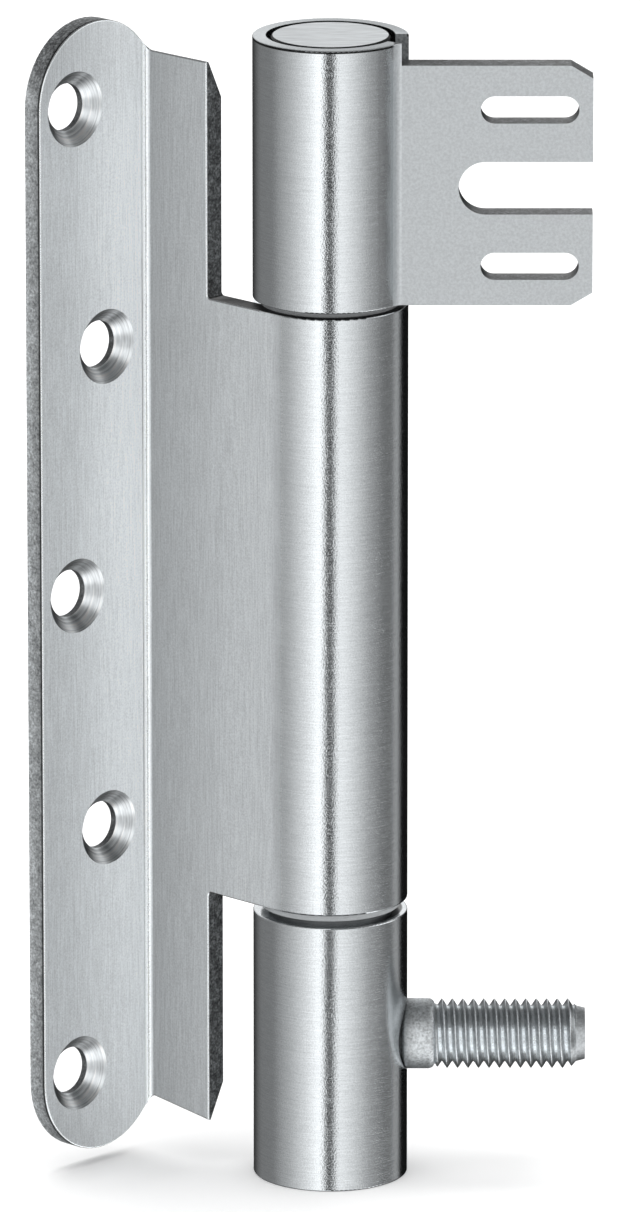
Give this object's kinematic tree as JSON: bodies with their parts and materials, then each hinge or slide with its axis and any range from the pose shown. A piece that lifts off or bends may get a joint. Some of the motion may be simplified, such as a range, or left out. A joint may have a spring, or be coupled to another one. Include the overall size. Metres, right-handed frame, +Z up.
{
  "type": "barrel door hinge",
  "caption": "Three-knuckle barrel hinge for a rebated door: folded screw-plate leaf with rolled middle knuckle, frame knuckles with slotted tab and threaded stud.",
  "frame": {"origin": "on the hinge axis, at the bottom face of the lower frame knuckle", "axes": "+Z up along the hinge axis, +X along the stud and the slotted tab, -Y towards the side the screw plate faces"},
  "size_m": [0.0797, 0.0235, 0.1678],
  "materials": {
    "leaf_steel": "fine brushed stainless, vertical grain on the plate, round the barrel on the knuckle",
    "frame_steel": "fine brushed stainless, grain round the barrel, matte grey tab",
    "stud_steel": "rolled thread, bright flanks, grained collar",
    "cap_steel": "straight brushed disc",
    "pin_steel": "ground",
    "bearing": "pale grey bearing plastic"
  },
  "bodies": {
    "frame": {"upper_frame_leaf": "frame_steel", "lower_frame_knuckle": "frame_steel", "fixing_stud": "stud_steel", "hinge_pin": "pin_steel", "upper_pin_sleeve": "pin_steel", "top_cap": "cap_steel", "lower_thrust_washer": "pin_steel"},
    "leaf": {"door_leaf": "leaf_steel", "upper_bearing_bush": "bearing", "lower_bearing_bush": "bearing"}
  },
  "joints": [
    {"name": "door_swing", "type": "hinge", "parent": "frame", "child": "leaf", "pos_m": [0, 0, 0.0844], "axis": [0, 0, 1], "range_deg": [-46, 134]}
  ]
}
